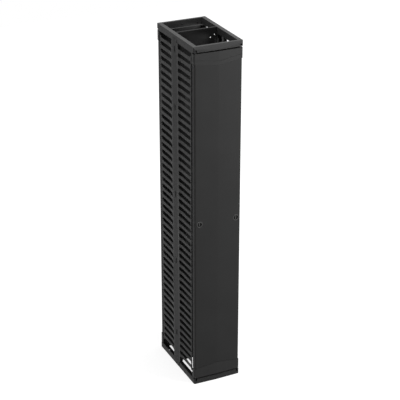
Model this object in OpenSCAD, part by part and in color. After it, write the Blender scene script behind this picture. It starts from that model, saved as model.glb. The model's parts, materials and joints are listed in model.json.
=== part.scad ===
// Double-sided vertical cable manager with a finger for each rack unit.
// Z is up, the front door faces -Y, and the origin is on the floor under the middle of the body.
// All sizes are in millimetres.

/* [Body] */
// Overall height
body_h = 2134; // [1400:1:2400]
// Overall width across the two spines
body_w = 304.8; // [240:0.1:400]
// Depth between the front and back corner planes of the frame
body_d = 482.6; // [420:0.1:700]

/* [Rims] */
// Thickness of the rim sheet
rim_sheet = 2; // [1.5:0.1:3]
// Height of the top rim
top_rim_h = 38.5; // [38:0.5:60]
// Height of the bottom rim
bottom_rim_h = 36; // [34:0.5:60]
// Width of the flange round the top opening
top_flange = 25; // [15:1:40]
// Width of the floor flange
floor_flange = 45; // [30:1:50]
// Radius of the floor anchor holes
anchor_r = 7; // [4:0.5:8]
// Distance of the anchor holes from the side walls
anchor_inset = 22; // [16:1:24]
// Distance between the anchor holes from front to back
anchor_span = 360; // [300:1:380]

/* [Spines] */
// Thickness of the spine sheet
spine_sheet = 2; // [1.5:0.1:2.5]
// Width of the spine's outer face
spine_w = 56; // [44:1:80]
// Depth of the spine's flanges
spine_depth = 26; // [22:1:40]
// Gap between the top of the spine and the top of the body
spine_top_gap = 19; // [10:1:24]
// Gap between the bottom of the spine and the floor
spine_floor_gap = 6; // [4:1:12]
// Radius of the spine's corners
spine_corner_r = 8; // [2:1:15]
// Width of the rack mounting slots
rack_slot_w = 12; // [8:0.5:14]
// Length of the rack mounting slots
rack_slot_l = 38; // [24:1:50]
// Heights of the rack mounting slots, as shares of the body's height
rack_slot_at = [0.11, 0.341, 0.546, 0.7985, 0.9606];

/* [Divider] */
// Thickness of the divider sheet
divider_sheet = 1.5; // [1:0.1:2]
// Depth of the divider's top flange
divider_flange = 12; // [8:1:20]
// Number of pass-through windows
window_count = 4; // [2:1:5]
// Width of a pass-through window
window_w = 150; // [80:1:180]
// Height of a pass-through window
window_h = 110; // [60:1:160]
// Corner radius of a pass-through window
window_r = 22; // [10:1:30]
// Radius of the tie holes near the divider's top
tie_hole_r = 3; // [2:0.5:8]

/* [Finger combs] */
// Distance from one finger to the next, one rack unit
finger_pitch = 44.45; // [40:0.05:50]
// Height of the lowest finger's middle
first_finger = 96; // [90:1:110]
// Height of a finger
finger_h = 19; // [14:0.5:24]
// Thickness of a finger's face
finger_t = 4; // [3:0.5:5]
// Depth of the rib behind a finger
finger_rib = 7; // [4:0.5:9]
// Thickness of the rib behind a finger
finger_rib_t = 5; // [3:0.5:7]
// Width of the comb's base strip beside the spine
comb_strip = 15; // [12:0.5:20]
// Length of the bend at a finger's root
root_bend = 36; // [24:1:50]
// Distance that the fingers step in from the base strip
finger_step = 4; // [2:0.5:6]
// Radius of a slot's corners at the root
slot_root_r = 7; // [3:0.5:10]
// Radius of a slot's corners at the tip
slot_tip_r = 3; // [1:0.5:5]
// Distance from the frame's corner plane to the finger tips
tip_setback = 34; // [30:0.5:50]
// Width of the cross bar at a finger's tip
tip_w = 11; // [8:0.5:16]
// Gap between the cross bars of two fingers
tip_gap = 5; // [3:0.5:12]
// Number of combs in a column of fingers
combs_per_column = 3; // [3:1:3]
// Thickness of the foot that is screwed to the spine
comb_foot_t = 3; // [2:0.5:4]

/* [Doors] */
// Thickness of the door sheet
door_sheet = 1.5; // [1:0.1:2]
// How far the door's edges stand out from the corner plane
door_edge_out = 6.5; // [4:0.5:10]
// How far the crease down the door's middle stands out from the corner plane
door_crease_out = 10; // [8:0.5:14]
// Distance from the corner plane back to the rear of the door's side flanges
door_back = 25; // [17:0.5:27]
// Width of the lips on the door's side flanges
door_lip = 9; // [6:0.5:11]
// Radius of the door's vertical corners
door_corner_r = 8; // [5:0.5:9]
// How far the end caps stand out beside the door sheet
cap_side_step = 4.5; // [4:0.1:5]
// Wall of the end caps
cap_wall = 3; // [2.5:0.1:4]
// Thickness of the end cap's tongue under the door sheet
tongue_t = 2.5; // [2:0.1:3]
// Length of the tongue past the seam
tongue_l = 16; // [12:1:24]
// Length of the end cap at the door's edges
cap_edge_l = 60; // [50:1:80]
// How much longer the end cap is at the crease
chevron_drop = 22; // [10:1:30]
// Width of the seam between door sheet and top cap
top_seam_gap = 0.3; // [0.1:0.1:2]
// Width of the seam between door sheet and bottom cap
bottom_seam_gap = 2; // [0.5:0.1:3]
// Width of the groove across the top end cap
groove_w = 2.4; // [1:0.1:4]
// Depth of the groove across the top end cap
groove_depth = 1.2; // [0.5:0.1:2]
// Distance from the end of the cap to its groove, at the door's edges
groove_at = 33; // [24:1:40]

/* [Hinge caps] */
// Height of the hinge caps
hinge_cap_h = 32; // [32:1:34]
// Depth of the hinge caps behind the corner plane
hinge_cap_back = 13; // [12.5:0.5:15]
// Gap between hinge cap and door
hinge_gap = 8; // [6:0.5:12]
// Fall of the top cap's bevel at its ends
bevel_end = 10.5; // [8:0.5:11]
// Fall of the top cap's bevel at the crease
bevel_mid = 28; // [20:0.5:29]
// Width of the notch in front of a hinge pin
notch_w = 12; // [10:0.5:14]
// Height of the notch in front of a hinge pin
notch_h = 15; // [13:0.5:15]
// Depth of the pin sockets above and below the notches
socket_depth = 8.5; // [7:0.5:9]
// Distance between the screws of a hinge cap
cap_screw_pitch = 93; // [70:1:100]
// Depth of the screw holes in a hinge cap
cap_screw_depth = 7; // [5:0.5:8]
// Width of the hollows in the back of the bottom hinge cap
hollow_w = 24; // [16:1:30]
// Depth of the hollows in the back of the bottom hinge cap
hollow_depth = 9; // [6:0.5:12]

/* [Latches] */
// Radius of the latch rods and of their hinge pins
rod_r = 3.5; // [3:0.1:3.5]
// Radial clearance of a hinge pin
pin_clearance = 0.05; // [0.02:0.01:0.1]
// Distance of the hinge pins from the side of the frame
pin_inset = 13.4; // [13:0.1:14]
// Distance of the hinge pins behind the corner plane
pin_setback = 6; // [5.5:0.1:6]
// Travel of the latch rods
rod_travel = 10; // [10:0.1:11]
// Height of the latches as a share of the body's height
latch_at = 0.5; // [0.45:0.01:0.55]
// Distance from the hinge pin inwards to the middle of the latch
latch_inset = 21; // [21:0.5:26]
// Radius of the latch cup's bezel
bezel_r = 19; // [18:0.5:19]
// Height of the bezel above the door sheet
bezel_out = 1.6; // [1:0.1:3]
// Radius of the latch cup's body
cup_r = 16; // [15.5:0.5:16.5]
// Depth of the latch cup
cup_depth = 8.5; // [7:0.5:9]
// Thickness of the latch cup's floor
cup_floor = 2.5; // [2:0.1:2.5]
// Wall of the latch cup
cup_wall = 2; // [1.5:0.1:2.5]
// Length of the thumb-turn's bar
turn_l = 25; // [18:0.5:26]
// Thickness of the thumb-turn's bar
turn_t = 6; // [4:0.5:8]
// Radius of the latch shaft
shaft_r = 3.5; // [3:0.1:3.5]
// Radius of the scroll cam
cam_r = 23; // [23:0.5:24]
// Thickness of the scroll cam
cam_t = 3; // [2:0.5:3]
// Radius of the follower pins
follower_r = 2; // [1.5:0.1:2.2]
// Distance of a follower from the shaft with its rod drawn back
follower_in = 8; // [8:0.1:8.4]
// Clearance of a follower in its slot
follower_clearance = 0.4; // [0.3:0.05:0.5]

/* [Screws] */
// Radius of the frame screws
screw_r = 2.5; // [2:0.1:3]
// Radius of the screw heads
screw_head_r = 4.5; // [4:0.1:5]
// Height of the screw heads
screw_head_h = 2; // [1.5:0.1:2.5]
// Radial clearance round a screw
screw_clearance = 0.1; // [0.05:0.05:0.3]

/* [Hidden] */
$fn = 48;

// Frame
spine_x = body_w / 2;
rim_x = spine_x - spine_sheet;
corner_y = body_d / 2;
rail_y = corner_y - hinge_cap_back;
spine_y = spine_w / 2;
spine_z0 = spine_floor_gap;
spine_z1 = body_h - spine_top_gap;
top_rim_z = body_h - top_rim_h;
rim_clearance = 0.5;
comb_end_gap = 1.5;

// Finger combs: s is the distance from the spine's middle plane towards a door
finger_count = 1 + floor((top_rim_z - rim_clearance - finger_h / 2 - first_finger) / finger_pitch);
strip_end = spine_y + comb_strip;
tip_s1 = corner_y - tip_setback;
tip_s0 = tip_s1 - tip_w;
foot_screw_x = spine_depth / 2 + spine_sheet;
foot_screws_per_comb = 3;
foot_screw_bite = 1;
root_steps = 4;

// Divider
divider_y = spine_y + comb_foot_t;
divider_x = rim_x - finger_t;
divider_top_x = rim_x - top_flange - rim_clearance;
divider_z0 = rim_sheet + 2;
tie_holes = [[109, 43], [84, 56]];

// Doors, with y measured from the corner plane towards the inside of the body
panel_x = rim_x - cap_side_step - rim_clearance;
cap_x = rim_x - rim_clearance;
cap_recess = 0.5;
sheet_fit = 0.05;
door_z0 = hinge_cap_h + hinge_gap;
door_screw_y = 9;
pin_x = rim_x - pin_inset;
crease_slope = (door_crease_out - door_edge_out) / (panel_x - door_corner_r);
arc_steps = 5;
door_depth = door_back + door_crease_out;

// Hinge caps
notch_back = pin_setback + rod_r + 1.5;
notch_arch_z = notch_h - notch_w / 2;

// Latches
latch_z = body_h * latch_at;
latch_x = pin_x - latch_inset;
bezel_y = -(door_crease_out - crease_slope * latch_x) - bezel_out;
cup_floor_y = bezel_y + cup_depth + bezel_out;
cup_back_y = cup_floor_y + cup_floor;
foot_t = 3;
foot_h = 8;
cam_y = pin_setback + rod_r + 0.5;
cam_back_y = cam_y + cam_t;
follower_out = follower_in + rod_travel;
shaft_flat = shaft_r * 0.7;
turn_gap = 0.3;
turn_crown_r = 2 * turn_l;
hub_r = turn_t / 2 + 3;
hub_t = 2;
hub_proud = 0.1;
cam_screw_r = 1.5;
cam_screw_l = 3;
spiral_steps = 18;
rod_top = body_h - hinge_cap_h + notch_h + socket_depth - 1.5;
rod_tip_chamfer = 1.5;
guide_h = 14;
guide_w = 13;
guide_at = [0.3, 0.62];
guide_wall = 1;
turn_h = cup_depth - 0.8;
door_screw_head = 1;
eps = 0.01;

// Colours
rim_grey = [0.29, 0.29, 0.30];
spine_grey = [0.22, 0.22, 0.225];
comb_grey = [0.27, 0.27, 0.275];
door_grey = [0.20, 0.205, 0.20];
cap_grey = [0.25, 0.255, 0.255];
latch_grey = [0.30, 0.30, 0.31];
steel_grey = [0.45, 0.45, 0.47];

// ---- Outlines ----

function unit(v) = v / norm(v);
function left_of(v) = [-v.y, v.x];

// Points on an arc from angle a0 to a1
function arc(centre, r, a0, a1, steps) =
  [for (i = [0:steps]) let (a = a0 + (a1 - a0) * i / steps) centre + r * [cos(a), sin(a)]];

// Point i of a path, moved sideways by t and mitred where the path bends
function mitred(path, i, t) =
  let (
    last = len(path) - 1,
    a = left_of(unit(path[max(i, 1)] - path[max(i, 1) - 1])),
    b = left_of(unit(path[min(i, last - 1) + 1] - path[min(i, last - 1)])),
    n = unit(a + b)
  )
  path[i] + n * t / (n * b);

// Closed outline of a sheet of thickness t, laid to the left of a path
function sheet(path, t) = concat(path, [for (i = [len(path) - 1:-1:0]) mitred(path, i, t)]);

// Front of the door in plan, from one side flange round the crease to the other
function door_front(x, inset) =
  let (r = door_corner_r - inset, c = [x - door_corner_r, door_corner_r - door_edge_out])
  concat(
    arc([-c.x, c.y], r, 180, 270, arc_steps),
    [[0, inset - door_crease_out]],
    arc(c, r, 270, 360, arc_steps)
  );

// Closed outline of the space behind the door's skin
function door_space(x, inset, back) =
  concat([[inset - x, back]], door_front(x, inset), [[x - inset, back]]);

// Outline of a finger in plan: x is the distance in from the spine's face, y is s
function finger_path() = concat(
  [[0, spine_y + eps], [0, strip_end]],
  [
    for (i = [1:root_steps])
      [finger_step * (1 - cos(180 * i / root_steps)) / 2, strip_end + root_bend * i / root_steps]
  ],
  [[finger_step, tip_s1]]
);

// Scroll slot: radius falls evenly from follower_out to follower_in over half a turn
function spiral_point(start, i, off) =
  let (share = i / spiral_steps, r = follower_out - rod_travel * share + off, a = start - 180 * share)
  r * [cos(a), sin(a)];
function spiral(start, w) = concat(
  [for (i = [0:spiral_steps]) spiral_point(start, i, w)],
  [for (i = [spiral_steps:-1:0]) spiral_point(start, i, -w)]
);

// ---- Placing ----

module both_sides() {
  children();
  mirror([1, 0, 0]) children();
}

module front_and_back() {
  children();
  rotate([0, 0, 180]) children();
}

// Extrudes an outline drawn in X and Z along Y
module along_y(length) {
  rotate([90, 0, 0]) linear_extrude(length, center = true) children();
}

// Extrudes an outline drawn in Y and Z along X
module along_x(length) {
  rotate([90, 0, 90]) linear_extrude(length, center = true) children();
}

// Cylinder along Y from y0 to y1
module y_cylinder(r, y0, y1) {
  translate([0, y0, 0]) rotate([-90, 0, 0]) cylinder(r = r, h = y1 - y0);
}

// Cylinder along X from x0 to x1
module x_cylinder(r, x0, x1) {
  translate([x0, 0, 0]) rotate([0, 90, 0]) cylinder(r = r, h = x1 - x0);
}

// Front door and back door frames: the corner plane is y = 0 and the body lies towards +Y
module at_front() {
  translate([0, -corner_y, 0]) children();
}

module at_back() {
  rotate([0, 0, 180]) translate([0, -corner_y, 0]) children();
}

// Screw pointing along -Z with its head's underside at the origin
module screw(length) {
  cylinder(r = screw_head_r, h = screw_head_h);
  translate([0, 0, -length]) cylinder(r = screw_r, h = length + eps);
}

// Slot with round ends, along X
module round_slot(l, w) {
  square([l - w, w], center = true);
  for (side = [-1, 1]) translate([side * (l - w) / 2, 0]) circle(r = w / 2);
}

// Rounded rectangle with its own radius at each end along X
module slot_shape(x0, x1, h, r0, r1) {
  translate([x0 + r0, -h / 2]) square([x1 - x0 - r0 - r1, h]);
  translate([x0, r0 - h / 2]) square([r0 + eps, h - 2 * r0]);
  translate([x1 - r1 - eps, r1 - h / 2]) square([r1 + eps, h - 2 * r1]);
  for (side = [-1, 1]) {
    translate([x0 + r0, side * (h / 2 - r0)]) circle(r = r0);
    translate([x1 - r1, side * (h / 2 - r1)]) circle(r = r1);
  }
}

// ---- Rims ----

// Side channel of a rim, from the front rail to the back rail, its inner edge turned back as a lip if asked
module rim_side(z0, z1, flange_z, flange_w, lip = false) {
  far_z = flange_z == z1 ? z0 : z1;
  wall = [[-rim_x, far_z], [-rim_x, flange_z], [flange_w - rim_x, flange_z]];
  along_y(2 * rail_y)
    polygon(sheet(lip ? concat(wall, [[flange_w - rim_x, far_z]]) : wall,
                  flange_z == z1 ? -rim_sheet : rim_sheet));
}

// Front rail of a rim, a plain plate between the side channels
module rim_rail(z0, z1) {
  translate([-rim_x, -rail_y, z0]) cube([2 * rim_x, rim_sheet, z1 - z0]);
}

cap_screw_xs = [-1, 0, 1] * cap_screw_pitch;
top_cap_screw_drop = 23;
function cap_screw_z(top) = top ? body_h - top_cap_screw_drop : hinge_cap_h / 2;

module cap_screw_holes(top) {
  for (x = cap_screw_xs)
    translate([x, 0, cap_screw_z(top)])
      y_cylinder(screw_r + screw_clearance, -rail_y - eps, -rail_y + rim_sheet + eps);
}

spine_screw_y = spine_w / 4 + 2;
function spine_screw_z(top) = top ? (top_rim_z + spine_z1) / 2 : (spine_z0 + bottom_rim_h) / 2;

module spine_screw_holes(top) {
  both_sides()
    for (y = [-spine_screw_y, spine_screw_y])
      translate([0, y, spine_screw_z(top)])
        x_cylinder(screw_r + screw_clearance, -spine_x - eps, rim_sheet - rim_x + eps);
}

module top_frame() color(rim_grey) {
  difference() {
    union() {
      both_sides() rim_side(top_rim_z, body_h, body_h, top_flange, lip = true);
      front_and_back() rim_rail(top_rim_z, body_h);
    }
    spine_screw_holes(true);
    front_and_back() cap_screw_holes(true);
  }
}

module bottom_frame() color(rim_grey) {
  difference() {
    union() {
      both_sides() rim_side(0, bottom_rim_h, 0, floor_flange);
      front_and_back() rim_rail(0, bottom_rim_h);
    }
    spine_screw_holes(false);
    front_and_back() cap_screw_holes(false);
    for (x = [-1, 1] * (rim_x - anchor_inset), y = [-1, 1] * anchor_span / 2)
      translate([x, y, -eps]) cylinder(r = anchor_r, h = rim_sheet + 2 * eps);
  }
}

// ---- Spines ----

function first_of_comb(i) = floor(i * finger_count / combs_per_column);
function finger_z(k) = first_finger + k * finger_pitch;
function comb_joint_z(i) = finger_z(first_of_comb(i) - 0.5);
function comb_z0(i) = i == 0 ? bottom_rim_h + comb_end_gap : comb_joint_z(i) + rim_clearance / 2;
function comb_z1(i) =
  i == combs_per_column - 1 ? top_rim_z - comb_end_gap : comb_joint_z(i + 1) - rim_clearance / 2;
function foot_screw_z(i, k) = comb_z0(i) + (comb_z1(i) - comb_z0(i)) * (k + 0.5) / foot_screws_per_comb;

// Cylinders at the screws that hold the comb feet to one flange of the left spine
module foot_screw_places() {
  for (i = [0:combs_per_column - 1], k = [0:foot_screws_per_comb - 1])
    translate([foot_screw_x - spine_x, 0, foot_screw_z(i, k)]) children();
}

// Spine on the left: a channel whose flanges run between the rims
module spine() {
  flange_x = spine_depth - spine_x;
  half_h = (spine_z1 - spine_z0) / 2;
  channel = [[flange_x, spine_y], [-spine_x, spine_y], [-spine_x, -spine_y], [flange_x, -spine_y]];
  difference() {
    union() {
      translate([0, 0, bottom_rim_h + rim_clearance])
        linear_extrude(top_rim_z - bottom_rim_h - 2 * rim_clearance)
          polygon(sheet(channel, spine_sheet));
      translate([spine_sheet / 2 - spine_x, 0, spine_z0 + half_h])
        along_x(spine_sheet)
          rotate(90)
            slot_shape(-half_h, half_h, spine_w, spine_corner_r, spine_corner_r);
    }
    for (share = rack_slot_at)
      translate([-spine_x, 0, body_h * share])
        along_x(3 * spine_sheet)
          rotate(90)
            round_slot(rack_slot_l, rack_slot_w);
    spine_screw_holes(false);
    spine_screw_holes(true);
    foot_screw_places() y_cylinder(screw_r + screw_clearance, -spine_y - eps, spine_y + eps);
  }
}

module left_spine() color(spine_grey) spine();
module right_spine() color(spine_grey) mirror([1, 0, 0]) spine();

// ---- Divider ----

module divider() color(rim_grey) {
  difference() {
    union() {
      translate([-divider_x, divider_y, divider_z0])
        cube([2 * divider_x, divider_sheet, top_rim_z - rim_clearance - divider_z0]);
      translate([0, divider_y, 0])
        along_x(2 * divider_top_x)
          polygon(sheet([[0, top_rim_z - 1], [0, body_h], [divider_flange, body_h]], -divider_sheet));
    }
    for (i = [1:window_count])
      translate([0, divider_y, i * body_h / (window_count + 1)])
        along_y(4 * divider_sheet)
          slot_shape(-window_w / 2, window_w / 2, window_h, window_r, window_r);
    both_sides() {
      for (p = tie_holes)
        translate([p.x, 0, body_h - p.y])
          y_cylinder(tie_hole_r, divider_y - eps, divider_y + divider_sheet + eps);
      foot_screw_places()
        y_cylinder(screw_r + screw_clearance, divider_y - eps, divider_y + divider_sheet + eps);
    }
  }
}

// ---- Finger combs ----

// Space between two columns of T tips, and the wider slot behind it, centred on z = 0
module finger_slot() {
  along_x(8 * finger_t)
    slot_shape(strip_end, tip_s0, finger_pitch - finger_h, slot_root_r, slot_tip_r);
  translate([-4 * finger_t, tip_s0 - slot_tip_r, -tip_gap / 2])
    cube([8 * finger_t, 2 * tip_w, tip_gap]);
}

// Open space above or below the end fingers of a column
module past_fingers(z0, z1) {
  translate([-4 * finger_t, strip_end, z0]) cube([8 * finger_t, tip_s1, z1 - z0]);
}

// Rib behind a finger, deepest at the root bend
module finger_rib_shape() {
  back = finger_t + finger_step;
  polygon([
    [finger_t - 1, spine_y + comb_foot_t],
    [back + finger_rib, strip_end + root_bend / 2],
    [back + finger_rib, strip_end + 2 * root_bend],
    [back + 1, tip_s1 - tip_w / 2],
    [back - 1, tip_s1 - tip_w / 2],
    [back - 1, strip_end + root_bend],
    [finger_t - 1, strip_end]
  ]);
}

// One moulded comb, drawn for the left side with its fingers towards +Y
module comb(i) {
  z0 = comb_z0(i);
  z1 = comb_z1(i);
  first = first_of_comb(i);
  last = first_of_comb(i + 1) - 1;
  tip_h = finger_pitch - tip_gap;
  translate([-spine_x, 0, 0]) {
    difference() {
      translate([0, 0, z0]) linear_extrude(z1 - z0) polygon(sheet(finger_path(), -finger_t));
      for (k = [first:last + 1]) translate([0, 0, finger_z(k - 0.5)]) finger_slot();
      if (i == 0) past_fingers(0, finger_z(first) - tip_h / 2);
      if (i == combs_per_column - 1) past_fingers(finger_z(last) + tip_h / 2, body_h);
    }
    for (k = [first:last])
      translate([0, 0, finger_z(k) - finger_rib_t / 2]) linear_extrude(finger_rib_t) finger_rib_shape();
    // foot against the spine's flange
    difference() {
      translate([eps, spine_y, z0]) cube([spine_depth - eps, comb_foot_t, z1 - z0]);
      for (k = [0:foot_screws_per_comb - 1])
        translate([foot_screw_x, 0, foot_screw_z(i, k)])
          y_cylinder(screw_r + screw_clearance, spine_y - eps, spine_y + comb_foot_t + eps);
    }
  }
}

module left_back_comb(i) color(comb_grey) comb(i);
module left_front_comb(i) color(comb_grey) mirror([0, 1, 0]) comb(i);
module right_back_comb(i) color(comb_grey) mirror([1, 0, 0]) comb(i);
module right_front_comb(i) color(comb_grey) rotate([0, 0, 180]) comb(i);

// ---- Frame screws ----

module frame_screws() color(steel_grey) {
  both_sides() {
    for (z = [spine_screw_z(false), spine_screw_z(true)], y = [-spine_screw_y, spine_screw_y])
      translate([rim_sheet - rim_x, y, z]) rotate([0, 90, 0]) screw(rim_sheet + spine_sheet);
    foot_screw_places()
      translate([0, divider_y + divider_sheet, 0])
        rotate([-90, 0, 0]) screw(divider_sheet + comb_foot_t + spine_sheet + foot_screw_bite);
    foot_screw_places()
      translate([0, -spine_y - comb_foot_t, 0])
        rotate([90, 0, 0]) screw(comb_foot_t + spine_sheet + foot_screw_bite);
  }
}

module cap_screws() color(steel_grey) {
  front_and_back()
    for (top = [false, true], x = cap_screw_xs)
      translate([x, rim_sheet - rail_y, cap_screw_z(top)])
        rotate([-90, 0, 0]) screw(rim_sheet + cap_screw_depth - screw_clearance);
}

// ---- Hinge caps ----

// One half of the top hinge cap: a flat strip at the back and a bevel that falls to the creased front
module bevelled_half() {
  z0 = body_h - hinge_cap_h;
  translate([0, 0, z0]) cube([rim_x, hinge_cap_back, hinge_cap_h]);
  hull() {
    for (x = [0, rim_x]) {
      out = x == 0 ? door_crease_out : door_edge_out;
      fall = x == 0 ? bevel_mid : bevel_end;
      translate([min(x, rim_x - eps), 0, z0]) cube([eps, eps, hinge_cap_h]);
      translate([min(x, rim_x - eps), -out, z0]) cube([eps, eps, hinge_cap_h - fall]);
    }
  }
}

// Hinge cap with round corners that line up with the door's, before its seats are cut
module hinge_cap_block(top) {
  intersection() {
    linear_extrude(body_h) polygon(door_space(rim_x, 0, hinge_cap_back));
    if (top) both_sides() bevelled_half();
    else translate([-rim_x, -door_crease_out, 0]) cube([2 * rim_x, door_depth, hinge_cap_h]);
  }
}

// Notch that is open to front and back, and beyond it the blind socket of a hinge pin
module pin_seat() {
  translate([0, 0, notch_arch_z]) y_cylinder(notch_w / 2, -notch_back, notch_back);
  translate([-notch_w / 2, -notch_back, -1]) cube([notch_w, 2 * notch_back, notch_arch_z + 1]);
  translate([0, pin_setback, notch_arch_z])
    cylinder(r = rod_r + pin_clearance, h = notch_w / 2 + socket_depth);
}

module hinge_cap(top) {
  hollow_h = hinge_cap_h - 2 * cap_wall;
  difference() {
    hinge_cap_block(top);
    both_sides()
      translate([pin_x, 0, top ? body_h - hinge_cap_h : hinge_cap_h])
        mirror([0, 0, top ? 0 : 1]) pin_seat();
    for (x = cap_screw_xs)
      translate([x, 0, cap_screw_z(top)])
        y_cylinder(screw_r + screw_clearance, hinge_cap_back - cap_screw_depth, hinge_cap_back + eps);
    if (!top)
      for (k = [-1.5:1.5])
        translate([k * cap_screw_pitch / 2 - hollow_w / 2, hinge_cap_back - hollow_depth, cap_wall])
          cube([hollow_w, hollow_depth + eps, hollow_h]);
  }
}

module front_top_hinge_cap() color(cap_grey) at_front() hinge_cap(true);
module front_bottom_hinge_cap() color(cap_grey) at_front() hinge_cap(false);
module back_top_hinge_cap() color(cap_grey) at_back() hinge_cap(true);
module back_bottom_hinge_cap() color(cap_grey) at_back() hinge_cap(false);

// ---- Doors ----

// Chevron seam in X and Z: the end cap's outline with z = 0 at the door's end
module chevron(x, edge, z0) {
  polygon([[-x, z0], [x, z0], [x, edge], [0, edge + chevron_drop * x / cap_x], [-x, edge]]);
}

// Places a shape at the lower end of the door, or turned over at its upper end
module at_door_end(top) {
  translate([0, 0, top ? body_h - door_z0 : door_z0])
    mirror([0, 0, top ? 1 : 0])
      children();
}

// Chevron block through the door's whole thickness
module chevron_block(edge) {
  along_y(2 * door_depth) chevron(cap_x + 1, edge, -1);
}

function panel_edge_l(top) = cap_edge_l + (top ? top_seam_gap : bottom_seam_gap);

module door_panel() {
  path = concat(
    [[door_lip - panel_x, door_back], [-panel_x, door_back]],
    door_front(panel_x, 0),
    [[panel_x, door_back], [panel_x - door_lip, door_back]]
  );
  difference() {
    translate([0, 0, door_z0]) linear_extrude(body_h - 2 * door_z0) polygon(sheet(path, door_sheet));
    for (top = [false, true]) at_door_end(top) chevron_block(panel_edge_l(top));
    both_sides()
      translate([latch_x, 0, latch_z]) y_cylinder(cup_r + screw_clearance, -door_depth, door_sheet);
    door_screw_places() x_cylinder(screw_r + screw_clearance, -panel_x - 1, door_sheet - panel_x + eps);
  }
}

module door_screw_places() {
  for (top = [false, true])
    both_sides()
      at_door_end(top)
        translate([0, door_screw_y, panel_edge_l(top) + tongue_l / 2]) children();
}

// End cap of a door: a moulded shell with a tongue under the door sheet and a boss for each rod
module door_cap(top) {
  cap_l = cap_edge_l + chevron_drop;
  tongue_in = door_sheet + sheet_fit;
  tongue_x = panel_x - tongue_in;
  tongue_back = door_back - door_sheet - rim_clearance;
  difference() {
    union() {
      intersection() {
        union() {
          linear_extrude(cap_l) polygon(sheet(cap_skin_path(), cap_wall));
          linear_extrude(cap_wall) polygon(door_space(cap_x, cap_recess, door_back));
        }
        chevron_block(cap_edge_l);
      }
      intersection() {
        translate([0, 0, cap_wall / 2])
          linear_extrude(cap_l + tongue_l)
            polygon(sheet(concat([[-tongue_x, tongue_back]], door_front(panel_x, tongue_in),
                                 [[tongue_x, tongue_back]]), tongue_t));
        chevron_block(cap_edge_l + tongue_l);
      }
      both_sides()
        intersection() {
          translate([pin_x, pin_setback, 0]) linear_extrude(cap_edge_l / 2) boss_outline();
          linear_extrude(cap_edge_l) polygon(door_space(cap_x, cap_wall / 2, door_back));
        }
    }
    both_sides()
      translate([pin_x, pin_setback, -1]) cylinder(r = rod_r + pin_clearance, h = cap_edge_l);
    if (top) intersection() {
      difference() {
        chevron_block(groove_at + groove_w);
        chevron_block(groove_at);
      }
      translate([0, 0, -1])
        linear_extrude(cap_l + 2)
          difference() {
            polygon(door_space(cap_x + 1, -1, door_back + 1));
            polygon(door_space(cap_x, cap_recess + groove_depth, door_back + 2));
          }
    }
    both_sides()
      translate([0, door_screw_y, panel_edge_l(top) + tongue_l / 2])
        x_cylinder(screw_r, -panel_x - 1, tongue_t + door_sheet - panel_x + eps);
  }
}

function cap_skin_path() =
  concat([[cap_recess - cap_x, door_back]], door_front(cap_x, cap_recess), [[cap_x - cap_recess, door_back]]);

// Boss round a rod, with a web out to the cap's side wall
module boss_outline() {
  circle(r = rod_r + cap_wall);
  translate([0, -cap_wall / 2]) square([pin_inset, cap_wall]);
  translate([-cap_wall / 2, -pin_setback - door_edge_out]) square([cap_wall, pin_setback + door_edge_out]);
}

module rod_guides() {
  both_sides()
    for (share = guide_at, up = [-1, 1])
      difference() {
        intersection() {
          translate([pin_x - guide_w / 2, -door_crease_out, latch_z + up * share * body_h / 2 - guide_h / 2])
            cube([guide_w, door_crease_out + pin_setback + rod_r + guide_wall, guide_h]);
          linear_extrude(body_h) polygon(door_space(panel_x, door_sheet + sheet_fit, door_back));
        }
        translate([pin_x, pin_setback, 0]) cylinder(r = rod_r + screw_clearance, h = body_h);
      }
}

module door_screws() {
  door_screw_places()
    translate([-panel_x, 0, 0]) {
      x_cylinder(screw_r, 0, door_sheet + tongue_t);
      x_cylinder(screw_head_r, -door_screw_head, 0);
    }
}

// ---- Latches ----

// Latch cup: a turned cup in the door sheet whose bezel lies on the sheet
module latch_cup() {
  difference() {
    union() {
      difference() {
        translate([latch_x, 0, latch_z]) y_cylinder(bezel_r, bezel_y, 0);
        translate([0, 0, latch_z - bezel_r - 1])
          linear_extrude(2 * bezel_r + 2) polygon(door_space(panel_x, 0, door_back));
      }
      translate([latch_x, 0, latch_z]) y_cylinder(cup_r, bezel_y + bezel_out / 2, cup_back_y);
    }
    translate([latch_x, 0, latch_z]) {
      y_cylinder(cup_r - cup_wall, bezel_y - 1, cup_floor_y);
      y_cylinder(shaft_r + pin_clearance, bezel_y, cup_back_y + 1);
    }
  }
}

// Half-turn thumb-turn: a crowned bar in the cup, and a shaft that is flattened where it carries the cam
module thumb_turn() {
  bar_back = cup_floor_y - turn_gap;
  bar_front = bar_back - turn_h;
  difference() {
    union() {
      intersection() {
        translate([0, bar_back - turn_h, 0]) along_y(2 * turn_h) rotate(90) round_slot(turn_l, turn_t);
        translate([-turn_l / 2, bar_front + turn_crown_r, 0])
          rotate([0, 90, 0]) cylinder(r = turn_crown_r, h = turn_l, $fn = 96);
      }
      y_cylinder(hub_r, bar_back - hub_t, bar_back + hub_proud);
      y_cylinder(shaft_r, bar_back, cam_y);
      intersection() {
        y_cylinder(shaft_r, cam_y - 1, cam_back_y);
        translate([-shaft_r, cam_y - 1, -shaft_r]) cube([shaft_r + shaft_flat, cam_t + 2, 2 * shaft_r]);
      }
    }
    y_cylinder(cam_screw_r, cam_y - cam_screw_l - 1, cam_back_y + 1);
  }
}

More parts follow.
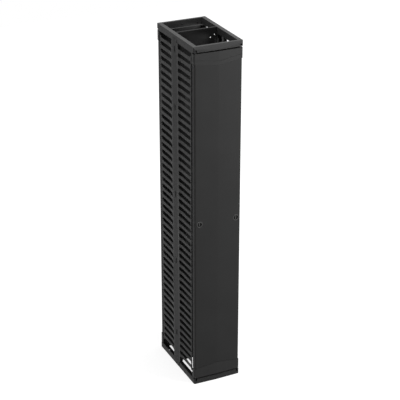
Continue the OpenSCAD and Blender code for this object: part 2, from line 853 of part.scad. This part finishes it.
// Scroll cam: each spiral slot moves its follower by the same amount for each degree of turn
module scroll_cam() {
  difference() {
    y_cylinder(cam_r, cam_y, cam_back_y);
    translate([0, (cam_y + cam_back_y) / 2, 0])
      along_y(cam_t + 1)
        for (start = [90, 270]) {
          polygon(spiral(start, follower_r + follower_clearance));
          for (end = [0, spiral_steps])
            translate(spiral_point(start, end, 0)) circle(r = follower_r + follower_clearance);
        }
    intersection() {
      y_cylinder(shaft_r + screw_clearance, cam_y - 1, cam_back_y + 1);
      translate([-2 * shaft_r, cam_y - 1, -2 * shaft_r])
        cube([2 * shaft_r + shaft_flat + screw_clearance, cam_t + 2, 4 * shaft_r]);
    }
  }
}

module cam_screw() {
  y_cylinder(screw_head_r, cam_back_y, cam_back_y + screw_head_h);
  y_cylinder(cam_screw_r - screw_clearance / 2, cam_y - cam_screw_l, cam_back_y + 1);
}

// Latch rod for the upper half of the door, drawn with its pin engaged
module latch_rod() {
  foot_z = follower_out;
  tip = rod_top - latch_z;
  translate([latch_inset, pin_setback, foot_z - foot_h / 2]) {
    cylinder(r = rod_r, h = tip - foot_z + foot_h / 2 - rod_tip_chamfer);
    translate([0, 0, tip - foot_z + foot_h / 2 - rod_tip_chamfer])
      cylinder(r1 = rod_r, r2 = rod_r - rod_tip_chamfer, h = rod_tip_chamfer);
  }
  translate([0, pin_setback - foot_t / 2, foot_z - foot_h / 2]) cube([latch_inset, foot_t, foot_h]);
  translate([0, 0, foot_z]) {
    y_cylinder(foot_h / 2, pin_setback - foot_t / 2, pin_setback + foot_t / 2);
    y_cylinder(follower_r, pin_setback, cam_back_y + 0.5);
  }
}

// Latch parts are placed on the hinge side with the rods engaged, or on the free side with them drawn back
module hinge_side() {
  translate([-latch_x, 0, latch_z]) mirror([1, 0, 0]) children();
}

module free_side() {
  translate([latch_x, 0, latch_z]) children();
}

module turned_back() {
  rotate([0, 180, 0]) children();
}

module upper_drawn_back() {
  translate([0, 0, -rod_travel]) children();
}

// ---- Front door ----

module front_door_panel() color(door_grey) at_front() door_panel();
module front_door_top_cap() color(cap_grey) at_front() at_door_end(true) door_cap(true);
module front_door_bottom_cap() color(cap_grey) at_front() at_door_end(false) door_cap(false);
module front_hinge_cup() color(latch_grey) at_front() mirror([1, 0, 0]) latch_cup();
module front_latch_cup() color(latch_grey) at_front() latch_cup();
module front_rod_guides() color(comb_grey) at_front() rod_guides();
module front_door_screws() color(steel_grey) at_front() door_screws();
module front_hinge_turn() color(latch_grey) at_front() hinge_side() thumb_turn();
module front_hinge_cam() color(steel_grey) at_front() hinge_side() scroll_cam();
module front_hinge_cam_screw() color(steel_grey) at_front() hinge_side() cam_screw();
module front_hinge_upper_rod() color(steel_grey) at_front() hinge_side() latch_rod();
module front_hinge_lower_rod() color(steel_grey) at_front() hinge_side() mirror([0, 0, 1]) latch_rod();
module front_latch_turn() color(latch_grey) at_front() free_side() turned_back() thumb_turn();
module front_latch_cam() color(steel_grey) at_front() free_side() turned_back() scroll_cam();
module front_latch_cam_screw() color(steel_grey) at_front() free_side() cam_screw();
module front_latch_upper_rod() color(steel_grey) at_front() free_side() upper_drawn_back() latch_rod();
module front_latch_lower_rod() color(steel_grey)
  at_front() free_side() mirror([0, 0, 1]) upper_drawn_back() latch_rod();

// ---- Back door ----

module back_door_panel() color(door_grey) at_back() door_panel();
module back_door_top_cap() color(cap_grey) at_back() at_door_end(true) door_cap(true);
module back_door_bottom_cap() color(cap_grey) at_back() at_door_end(false) door_cap(false);
module back_hinge_cup() color(latch_grey) at_back() mirror([1, 0, 0]) latch_cup();
module back_latch_cup() color(latch_grey) at_back() latch_cup();
module back_rod_guides() color(comb_grey) at_back() rod_guides();
module back_door_screws() color(steel_grey) at_back() door_screws();
module back_hinge_turn() color(latch_grey) at_back() hinge_side() thumb_turn();
module back_hinge_cam() color(steel_grey) at_back() hinge_side() scroll_cam();
module back_hinge_cam_screw() color(steel_grey) at_back() hinge_side() cam_screw();
module back_hinge_upper_rod() color(steel_grey) at_back() hinge_side() latch_rod();
module back_hinge_lower_rod() color(steel_grey) at_back() hinge_side() mirror([0, 0, 1]) latch_rod();
module back_latch_turn() color(latch_grey) at_back() free_side() turned_back() thumb_turn();
module back_latch_cam() color(steel_grey) at_back() free_side() turned_back() scroll_cam();
module back_latch_cam_screw() color(steel_grey) at_back() free_side() cam_screw();
module back_latch_upper_rod() color(steel_grey) at_back() free_side() upper_drawn_back() latch_rod();
module back_latch_lower_rod() color(steel_grey)
  at_back() free_side() mirror([0, 0, 1]) upper_drawn_back() latch_rod();

top_frame();
bottom_frame();
left_spine();
right_spine();
divider();
frame_screws();
cap_screws();
front_top_hinge_cap();
front_bottom_hinge_cap();
back_top_hinge_cap();
back_bottom_hinge_cap();
left_front_comb(0);  // left_front_comb_1
left_front_comb(1);  // left_front_comb_2
left_front_comb(2);  // left_front_comb_3
left_back_comb(0);  // left_back_comb_1
left_back_comb(1);  // left_back_comb_2
left_back_comb(2);  // left_back_comb_3
right_front_comb(0);  // right_front_comb_1
right_front_comb(1);  // right_front_comb_2
right_front_comb(2);  // right_front_comb_3
right_back_comb(0);  // right_back_comb_1
right_back_comb(1);  // right_back_comb_2
right_back_comb(2);  // right_back_comb_3
front_door_panel();
front_door_top_cap();
front_door_bottom_cap();
front_hinge_cup();
front_latch_cup();
front_rod_guides();
front_door_screws();
front_hinge_turn();
front_hinge_cam();
front_hinge_cam_screw();
front_hinge_upper_rod();
front_hinge_lower_rod();
front_latch_turn();
front_latch_cam();
front_latch_cam_screw();
front_latch_upper_rod();
front_latch_lower_rod();
back_door_panel();
back_door_top_cap();
back_door_bottom_cap();
back_hinge_cup();
back_latch_cup();
back_rod_guides();
back_door_screws();
back_hinge_turn();
back_hinge_cam();
back_hinge_cam_screw();
back_hinge_upper_rod();
back_hinge_lower_rod();
back_latch_turn();
back_latch_cam();
back_latch_cam_screw();
back_latch_upper_rod();
back_latch_lower_rod();
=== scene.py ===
import json
import math

import bmesh
import bpy
from mathutils import Matrix, Vector

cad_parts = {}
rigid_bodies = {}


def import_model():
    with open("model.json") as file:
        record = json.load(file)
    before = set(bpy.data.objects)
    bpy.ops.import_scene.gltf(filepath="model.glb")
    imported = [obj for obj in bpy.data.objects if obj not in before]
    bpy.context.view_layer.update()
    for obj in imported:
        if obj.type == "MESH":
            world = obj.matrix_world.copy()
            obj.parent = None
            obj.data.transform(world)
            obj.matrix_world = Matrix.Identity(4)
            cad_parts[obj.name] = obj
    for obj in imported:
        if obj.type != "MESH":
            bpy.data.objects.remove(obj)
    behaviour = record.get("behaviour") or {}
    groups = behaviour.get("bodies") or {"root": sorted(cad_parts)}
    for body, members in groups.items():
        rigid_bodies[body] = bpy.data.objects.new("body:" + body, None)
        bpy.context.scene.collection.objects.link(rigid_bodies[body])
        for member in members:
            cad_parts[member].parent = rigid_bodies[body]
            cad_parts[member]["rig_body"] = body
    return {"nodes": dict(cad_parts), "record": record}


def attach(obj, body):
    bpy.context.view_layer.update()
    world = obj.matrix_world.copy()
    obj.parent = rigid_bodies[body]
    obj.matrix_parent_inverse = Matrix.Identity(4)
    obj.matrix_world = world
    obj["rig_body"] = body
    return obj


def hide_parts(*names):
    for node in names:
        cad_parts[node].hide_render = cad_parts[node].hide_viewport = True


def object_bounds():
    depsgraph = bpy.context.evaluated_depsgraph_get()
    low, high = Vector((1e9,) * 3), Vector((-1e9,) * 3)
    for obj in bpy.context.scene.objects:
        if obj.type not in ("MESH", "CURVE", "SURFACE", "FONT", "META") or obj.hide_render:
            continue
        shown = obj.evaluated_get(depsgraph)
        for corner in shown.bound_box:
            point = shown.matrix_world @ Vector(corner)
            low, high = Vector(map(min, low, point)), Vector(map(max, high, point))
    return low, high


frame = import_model()
cadLow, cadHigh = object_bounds()
print("frame loaded:", len(frame["nodes"]), "nodes")

bodyHeight = cadHigh.z - cadLow.z
slotOf = {part["node"]: part["material_slot"] for part in frame["record"]["subparts"]}


def compass(azimuth, elevation):
    # azimuth 0 is in front of the front door, 90 is past the right side
    a, e = math.radians(azimuth), math.radians(elevation)
    return Vector((math.sin(a) * math.cos(e), -math.cos(a) * math.cos(e), math.sin(e)))


def aim(thing, place, target):
    thing.location = place
    thing.rotation_euler = (target - place).to_track_quat("-Z", "Y").to_euler()
    bpy.context.scene.collection.objects.link(thing)


# the camera stands left of the front door and looks down on the body
cameraLook = {"azimuth": -25.31, "elevation": 25.0, "distance": 7.947, "lens": 121.4,
              "sensor": 36.0, "target": Vector((0.0, -0.0098, 0.5154 * bodyHeight))}


def makeCamera(look):
    data = bpy.data.cameras.new("viewCamera")
    data.lens = look["lens"]
    data.sensor_width = look["sensor"]
    camera = bpy.data.objects.new("viewCamera", data)
    back = compass(look["azimuth"], look["elevation"])
    aim(camera, look["target"] + back * look["distance"], look["target"])
    bpy.context.scene.camera = camera


makeCamera(cameraLook)
print("camera placed")

# finishes: noise runs over this span of its values, and mix sockets have no names of their own
noiseSpan = (0.3, 0.7)
mixSockets = {"factor": 0, "first": 6, "second": 7, "result": 2}
patchLook = {"scale": 38.0, "detail": 3.0, "least": 0.35}
coatLook = {"mottleDetail": 3.0, "speckle": 1500.0, "speckleDetail": 1.0,
            "roughSpan": 0.05, "peelDepth": 0.0004}
grainLook = {"detail": 4.0, "blend": 0.6, "roughSpan": 0.04, "depth": 0.0002}
plateLook = {"cloudDetail": 3.0, "stretch": (1.0, 1.0, 0.03),
             "roughSpan": 0.07, "strength": 0.15, "depth": 0.0001}


def newMaterial(name):
    material = bpy.data.materials.new(name)
    material.use_nodes = True
    return material, material.node_tree, material.node_tree.nodes["Principled BSDF"]


def addNode(tree, kind, sockets=None, **settings):
    node = tree.nodes.new(kind)
    for key, value in settings.items():
        setattr(node, key, value)
    for key, value in (sockets or {}).items():
        plug(tree, node, key, value)
    return node


def plug(tree, node, key, value):
    if isinstance(value, bpy.types.NodeSocket):
        tree.links.new(value, node.inputs[key])
    else:
        node.inputs[key].default_value = value


def grey(level):
    return (level, level, level, 1.0)


def ramp(tree, factor, colours):
    node = addNode(tree, "ShaderNodeValToRGB", {"Fac": factor})
    for point, place, colour in zip(node.color_ramp.elements, noiseSpan, colours):
        point.position = place
        point.color = colour
    return node.outputs["Color"]


def spread(tree, value, low, high):
    # stretches a noise value to the range from low to high
    node = addNode(tree, "ShaderNodeMapRange",
                   {"Value": value, "From Min": noiseSpan[0], "From Max": noiseSpan[1],
                    "To Min": low, "To Max": high})
    return node.outputs["Result"]


def around(tree, value, middle, span):
    return spread(tree, value, middle - span, middle + span)


def noise(tree, place, scale, detail=2.0, rough=0.5):
    node = addNode(tree, "ShaderNodeTexNoise",
                   {"Vector": place, "Scale": scale, "Detail": detail, "Roughness": rough})
    return node.outputs["Fac"]


def wornAndHighlitEdges(tree, colour, edgeWearAndHighlightColour, amount):
    # lightens the rounded edges, more in some places than in others: partly wear, partly a painted
    # highlight along the edges
    place = addNode(tree, "ShaderNodeTexCoord").outputs["Object"]
    edge = addNode(tree, "ShaderNodeAttribute", attribute_name="edgeWearAndHighlight").outputs["Fac"]
    patches = noise(tree, place, patchLook["scale"], patchLook["detail"])
    patchy = spread(tree, patches, patchLook["least"] * amount, amount)
    factor = addNode(tree, "ShaderNodeMath", {0: edge, 1: patchy}, operation="MULTIPLY")
    mix = addNode(tree, "ShaderNodeMix", data_type="RGBA")
    plug(tree, mix, mixSockets["factor"], factor.outputs["Value"])
    plug(tree, mix, mixSockets["first"], colour)
    plug(tree, mix, mixSockets["second"], edgeWearAndHighlightColour)
    return mix.outputs[mixSockets["result"]]


def coatedMetal(name, look):
    # powder coat: slow mottling, fine speckle and an orange-peel surface
    material, tree, shader = newMaterial(name)
    place = addNode(tree, "ShaderNodeTexCoord").outputs["Object"]
    mottle = noise(tree, place, look["mottle"], coatLook["mottleDetail"])
    colour = ramp(tree, mottle, [grey(look["dark"]), grey(look["light"])])
    plug(tree, shader, "Base Color", wornAndHighlitEdges(tree, colour, grey(look["edge"]), look["wearAndHighlight"]))
    speckle = noise(tree, place, coatLook["speckle"], coatLook["speckleDetail"])
    plug(tree, shader, "Roughness", around(tree, speckle, look["rough"], coatLook["roughSpan"]))
    shader.inputs["Specular IOR Level"].default_value = look["shine"]
    peel = addNode(tree, "ShaderNodeBump",
                   {"Height": noise(tree, place, look["peel"]), "Strength": look["bump"],
                    "Distance": coatLook["peelDepth"]})
    plug(tree, shader, "Normal", peel.outputs["Normal"])
    return material


def mouldedPlastic(name, look):
    # moulded plastic: a fine spark-eroded grain over a slow change of tone
    material, tree, shader = newMaterial(name)
    place = addNode(tree, "ShaderNodeTexCoord").outputs["Object"]
    flow = noise(tree, place, look["mottle"], grainLook["detail"], grainLook["blend"])
    colour = ramp(tree, flow, [grey(look["dark"]), grey(look["light"])])
    plug(tree, shader, "Base Color", wornAndHighlitEdges(tree, colour, grey(look["edge"]), look["wearAndHighlight"]))
    cells = addNode(tree, "ShaderNodeTexVoronoi", {"Vector": place, "Scale": look["grain"]})
    plug(tree, shader, "Roughness", around(tree, flow, look["rough"], grainLook["roughSpan"]))
    shader.inputs["Specular IOR Level"].default_value = look["shine"]
    grain = addNode(tree, "ShaderNodeBump",
                    {"Height": cells.outputs["Distance"], "Strength": look["bump"],
                     "Distance": grainLook["depth"]})
    plug(tree, shader, "Normal", grain.outputs["Normal"])
    return material


def platedSteel(name, look):
    # black zinc plate: cloudy dark metal with fine drawn lines along the piece
    material, tree, shader = newMaterial(name)
    place = addNode(tree, "ShaderNodeTexCoord").outputs["Object"]
    cloud = noise(tree, place, look["cloud"], plateLook["cloudDetail"])
    colour = ramp(tree, cloud, [look["dull"], look["bright"]])
    plug(tree, shader, "Base Color", colour)
    shader.inputs["Metallic"].default_value = 1.0
    drawn = addNode(tree, "ShaderNodeMapping", {"Vector": place, "Scale": plateLook["stretch"]})
    lines = noise(tree, drawn.outputs["Vector"], look["lines"])
    plug(tree, shader, "Roughness", around(tree, cloud, look["rough"], plateLook["roughSpan"]))
    scratch = addNode(tree, "ShaderNodeBump",
                      {"Height": lines, "Strength": plateLook["strength"],
                       "Distance": plateLook["depth"]})
    plug(tree, shader, "Normal", scratch.outputs["Normal"])
    return material


# each finish's edge colour and its amount lighten the rounded edges: partly wear, partly a painted
# highlight
finishes = {
    "rim_coat": coatedMetal("rimCoat", {
        "dark": 0.044, "light": 0.050, "edge": 0.080, "wearAndHighlight": 0.4, "mottle": 7.0,
        "rough": 0.50, "shine": 0.08, "peel": 620.0, "bump": 0.25}),
    "spine_coat": coatedMetal("spineCoat", {
        "dark": 0.039, "light": 0.043, "edge": 0.055, "wearAndHighlight": 0.3, "mottle": 6.0,
        "rough": 0.55, "shine": 0.07, "peel": 620.0, "bump": 0.25}),
    "door_coat": coatedMetal("doorCoat", {
        "dark": 0.043, "light": 0.047, "edge": 0.050, "wearAndHighlight": 0.4, "mottle": 5.0,
        "rough": 0.55, "shine": 0.06, "peel": 560.0, "bump": 0.25}),
    "comb_plastic": mouldedPlastic("combPlastic", {
        "dark": 0.043, "light": 0.049, "edge": 0.075, "wearAndHighlight": 0.4, "mottle": 11.0,
        "rough": 0.50, "shine": 0.09, "grain": 1400.0, "bump": 0.30}),
    "cap_plastic": mouldedPlastic("capPlastic", {
        "dark": 0.042, "light": 0.046, "edge": 0.080, "wearAndHighlight": 0.5, "mottle": 9.0,
        "rough": 0.52, "shine": 0.10, "grain": 1500.0, "bump": 0.30}),
    "latch_plastic": mouldedPlastic("latchPlastic", {
        "dark": 0.046, "light": 0.051, "edge": 0.085, "wearAndHighlight": 0.8, "mottle": 30.0,
        "rough": 0.26, "shine": 0.35, "grain": 2200.0, "bump": 0.20}),
    "zinc_steel": platedSteel("zincSteel", {
        "dull": (0.045, 0.045, 0.047, 1.0), "bright": (0.075, 0.075, 0.078, 1.0),
        "cloud": 60.0, "lines": 2500.0, "rough": 0.38}),
    # painted shade: the divider has the frame's coat, made darker here because it stands in shade
    # inside the body
    "divider": coatedMetal("dividerShadedCoat", {
        "dark": 0.023, "light": 0.026, "edge": 0.032, "wearAndHighlight": 0.3, "mottle": 6.0,
        "rough": 0.60, "shine": 0.04, "peel": 620.0, "bump": 0.25}),
    # painted shade: near-black for the tongue's faces seen in the seam between cap and door sheet
    "tongue": mouldedPlastic("tonguePlastic", {
        "dark": 0.003, "light": 0.004, "edge": 0.004, "wearAndHighlight": 0.0, "mottle": 9.0,
        "rough": 0.80, "shine": 0.02, "grain": 1500.0, "bump": 0.30}),
}
print("materials made:", len(finishes))

# pieces of the frame, with rounded edges
edgeLook = {
    "rim_coat": {"radius": 0.0007, "steps": 2},
    "spine_coat": {"radius": 0.0006, "steps": 2},
    "door_coat": {"radius": 0.0005, "steps": 2},
    "comb_plastic": {"radius": 0.0008, "steps": 2},
    "cap_plastic": {"radius": 0.0010, "steps": 3},
    "latch_plastic": {"radius": 0.0006, "steps": 3},
    "zinc_steel": {"radius": 0.0003, "steps": 1},
}
tongueNodes = ["front_door_top_cap", "front_door_bottom_cap",
               "back_door_top_cap", "back_door_bottom_cap"]
screwNodes = ["frame_screws", "cap_screws", "front_door_screws", "back_door_screws"]
# faces closer in angle than the first are one flat face, and edges past the second are rounded
flatAngle = math.radians(0.6)
edgeAngle = math.radians(32)
weldGap = 0.00001


def mergedCopy(node):
    mesh = bmesh.new()
    mesh.from_mesh(frame["nodes"][node].data)
    bmesh.ops.remove_doubles(mesh, verts=mesh.verts, dist=weldGap)
    bmesh.ops.dissolve_limit(mesh, angle_limit=flatAngle, verts=mesh.verts, edges=mesh.edges)
    return mesh


def sharpEdges(mesh, limit):
    return [e for e in mesh.edges if len(e.link_faces) == 2 and e.calc_face_angle() > limit]


def onCrease(edge):
    # the door's fold, too shallow to count as sharp by its angle
    return all(abs(v.co.x) < weldGap for v in edge.verts) and edge.calc_face_angle(0) > flatAngle


# a cap's tongue lies behind the door's sheet and is seen only in the seam; its faces there are
# painted near-black, a painted shade that darkens the seam line
tongueLook = {"seamAtSide": 0.100, "seamRise": 0.022, "halfWidth": 0.150, "margin": 0.0005}


def paintSeamShadeOnTongue(mesh, atTop, look):
    for face in mesh.faces:
        middle = face.calc_center_median()
        height = bodyHeight - middle.z if atTop else middle.z
        seam = look["seamAtSide"] + look["seamRise"] * (1 - abs(middle.x) / look["halfWidth"])
        # faces past the seam take the near-black painted shade
        if height > seam + look["margin"]:
            face.material_index = 1


def finishPiece(mesh, name, node):
    # turns a bmesh into a shown piece that stands for a frame node
    for face in mesh.faces:
        face.smooth = True
    for edge in mesh.edges:
        edge.smooth = edge.calc_face_angle(0) < edgeAngle and not onCrease(edge)
    data = bpy.data.meshes.new(name)
    mesh.to_mesh(data)
    mesh.free()
    piece = bpy.data.objects.new(name, data)
    bpy.context.scene.collection.objects.link(piece)
    piece.modifiers.new("evenShading", "WEIGHTED_NORMAL").keep_sharp = True
    # the divider takes its own darker finish here, a painted shade
    data.materials.append(finishes.get(node, finishes[slotOf[node]]))
    # second finish: the near-black painted shade for the tongue in the seam
    if node in tongueNodes:
        data.materials.append(finishes["tongue"])
    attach(piece, frame["nodes"][node]["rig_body"])
    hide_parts(node)


def softened(node):
    look = edgeLook[slotOf[node]]
    mesh = mergedCopy(node)
    wearAndHighlight = mesh.faces.layers.float.new("edgeWearAndHighlight")
    done = bmesh.ops.bevel(mesh, geom=sharpEdges(mesh, edgeAngle), offset=look["radius"],
                           offset_type="OFFSET", affect="EDGES", segments=look["steps"],
                           profile=0.5, material=-1, clamp_overlap=True)
    # the bevelled faces carry the mask for the lighter edges: partly wear, partly a painted
    # highlight
    for face in done["faces"]:
        face[wearAndHighlight] = 1.0
    if node in tongueNodes:
        paintSeamShadeOnTongue(mesh, "_top_" in node, tongueLook)
    finishPiece(mesh, node + "_shown", node)


for node in sorted(frame["nodes"]):
    if node not in screwNodes:
        softened(node)
print("edges rounded")

# screws: each step of the crown is its share of the width and of the height
screwLook = {"steps": 20, "crown": [(1.0, 0.45), (0.94, 0.72), (0.78, 0.92), (0.56, 1.0)],
             "socketSides": 6, "socket": 0.42, "depth": 0.55, "shankSteps": 10}
# shares of a screw's radius: what lies past the first is head, and past the second shank
headShare, shankShare = 0.9, 0.2


def islands(mesh):
    # the points of each group of joined vertices, one group for each screw
    left = set(mesh.verts)
    while left:
        todo, points = [left.pop()], []
        while todo:
            vertex = todo.pop()
            points.append(vertex.co.copy())
            for other in [edge.other_vert(vertex) for edge in vertex.link_edges]:
                if other in left:
                    left.remove(other)
                    todo.append(other)
        yield points


def screwPlace(points):
    # where a screw's head meets the sheet, which way it faces, and its sizes
    low = Vector([min(p[i] for p in points) for i in range(3)])
    high = Vector([max(p[i] for p in points) for i in range(3)])
    size, middle = high - low, (low + high) / 2
    along = max(range(3), key=lambda i: min(abs(size[i] - size[k]) for k in range(3) if k != i))
    across = [k for k in range(3) if k != along]
    reach = [(math.hypot(*[p[k] - middle[k] for k in across]), p[along]) for p in points]
    radius = max(r for r, place in reach)
    head = [place for r, place in reach if r > headShare * radius]
    shank = [r for r, place in reach if shankShare * radius < r <= headShare * radius]
    outward = max(head) > high[along] - weldGap
    base, way = middle.copy(), Vector((0, 0, 0))
    base[along] = min(head) if outward else max(head)
    way[along] = 1 if outward else -1
    tall = max(head) - min(head)
    return {"base": base, "way": way, "radius": radius, "head": tall,
            "length": size[along] - tall, "shank": max(shank)}


def grow(mesh, ring, factor, rise):
    # a further ring of faces, narrower and higher than the last
    made = bmesh.ops.extrude_edge_only(mesh, edges=ring)["geom"]
    corners = [part for part in made if isinstance(part, bmesh.types.BMVert)]
    edges = [part for part in made if isinstance(part, bmesh.types.BMEdge)]
    bmesh.ops.scale(mesh, vec=(factor, factor, 1), verts=corners)
    bmesh.ops.translate(mesh, vec=(0, 0, rise), verts=corners)
    return [edge for edge in edges if all(v in corners for v in edge.verts)]


def circle(mesh, steps, radius, height):
    made = bmesh.ops.create_circle(mesh, segments=steps, radius=radius,
                                   matrix=Matrix.Translation((0, 0, height)))
    return list({e for v in made["verts"] for e in v.link_edges})


def addScrew(mesh, place, look):
    # domed head with a hexagon socket, on a plain shank
    screw = bmesh.new()
    radius, head = place["radius"], place["head"]
    ring = circle(screw, look["steps"], radius, 0)
    bmesh.ops.edgeloop_fill(screw, edges=ring)
    width, height = 1.0, 0.0
    for share, rise in look["crown"]:
        ring = grow(screw, ring, share / width, (rise - height) * head)
        width, height = share, rise
    socket = circle(screw, look["socketSides"], look["socket"] * radius, head)
    bmesh.ops.bridge_loops(screw, edges=ring + socket)
    bmesh.ops.edgeloop_fill(screw, edges=grow(screw, socket, 1.0, -look["depth"] * head))
    bmesh.ops.create_cone(screw, cap_ends=True, segments=look["shankSteps"], radius1=place["shank"],
                          radius2=place["shank"], depth=place["length"],
                          matrix=Matrix.Translation((0, 0, -place["length"] / 2)))
    bmesh.ops.recalc_face_normals(screw, faces=screw.faces)
    turn = place["way"].to_track_quat("Z", "Y").to_matrix().to_4x4()
    bmesh.ops.transform(screw, matrix=Matrix.Translation(place["base"]) @ turn, verts=screw.verts)
    data = bpy.data.meshes.new("oneScrew")
    screw.to_mesh(data)
    screw.free()
    mesh.from_mesh(data)
    bpy.data.meshes.remove(data)


for node in screwNodes:
    built = mergedCopy(node)
    screws = bmesh.new()
    screws.faces.layers.float.new("edgeWearAndHighlight")
    for points in islands(built):
        addScrew(screws, screwPlace(points), screwLook)
    built.free()
    finishPiece(screws, node + "_shown", node)
print("screws made:", len(screwNodes), "sets")

# floor, background and lamps
floorLook = {"size": 14.0, "tone": 0.40, "rough": 0.9,
             "liftNear": 0.78, "liftFar": 1.0, "near": 0.7, "far": 2.2}
worldStrength = 0.14


def seenDirectly(tree):
    # one where the camera, gloss or glass sees the background, and zero where it lights things
    path = addNode(tree, "ShaderNodeLightPath")
    total = path.outputs["Is Camera Ray"]
    for name in ("Is Glossy Ray", "Is Transmission Ray"):
        larger = addNode(tree, "ShaderNodeMath", {0: total, 1: path.outputs[name]},
                         operation="MAXIMUM")
        total = larger.outputs["Value"]
    return total


def makeFloor(look):
    bpy.ops.mesh.primitive_plane_add(size=look["size"], location=(0, 0, 0))
    floor = bpy.context.object
    floor.name = "studioFloor"
    material, tree, shader = newMaterial("paleFloor")
    shader.inputs["Base Color"].default_value = grey(look["tone"])
    shader.inputs["Roughness"].default_value = look["rough"]
    shader.inputs["Specular IOR Level"].default_value = 0.0
    shader.inputs["Emission Color"].default_value = (1.0, 1.0, 1.0, 1.0)
    place = addNode(tree, "ShaderNodeTexCoord").outputs["Object"]
    # painted light: the floor's glow is weaker near the body, so that its shadow shows around the
    # base, and full farther off
    away = addNode(tree, "ShaderNodeVectorMath", {0: place}, operation="LENGTH").outputs["Value"]
    fade = addNode(tree, "ShaderNodeMapRange",
                   {"Value": away, "From Min": look["near"], "From Max": look["far"],
                    "To Min": look["liftNear"], "To Max": look["liftFar"]}).outputs["Result"]
    lift = addNode(tree, "ShaderNodeMath", {0: seenDirectly(tree), 1: fade}, operation="MULTIPLY")
    plug(tree, shader, "Emission Strength", lift.outputs["Value"])
    floor.data.materials.append(material)


def makeWorld(strength):
    world = bpy.data.worlds.new("studioWorld")
    world.use_nodes = True
    tree = world.node_tree
    background = tree.nodes["Background"]
    background.inputs["Color"].default_value = (1.0, 1.0, 1.0, 1.0)
    level = addNode(tree, "ShaderNodeMapRange",
                    {"Value": seenDirectly(tree), "To Min": strength, "To Max": 1.0})
    plug(tree, background, "Strength", level.outputs["Result"])
    bpy.context.scene.world = world


lamps = {
    "overheadLamp": {"azimuth": 0, "elevation": 88, "distance": 3.4,
                     "size": 2.6, "power": 190, "aim": 0.9},
    "rightLamp": {"azimuth": 46, "elevation": 2, "distance": 2.6,
                  "size": 0.8, "power": 51, "aim": 0.9},
    "leftLamp": {"azimuth": -88, "elevation": 5, "distance": 3.6,
                 "size": 2.4, "power": 9, "aim": 0.4},
}


def makeLamp(name, look):
    data = bpy.data.lights.new(name, "AREA")
    data.shape = "DISK"
    data.size = look["size"]
    data.energy = look["power"]
    target = Vector((0, 0, look["aim"] * bodyHeight))
    away = compass(look["azimuth"], look["elevation"]) * look["distance"]
    aim(bpy.data.objects.new(name, data), target + away, target)


makeFloor(floorLook)
makeWorld(worldStrength)
for name, look in lamps.items():
    makeLamp(name, look)
bpy.context.scene.view_settings.view_transform = "Standard"
print("floor and lamps placed")
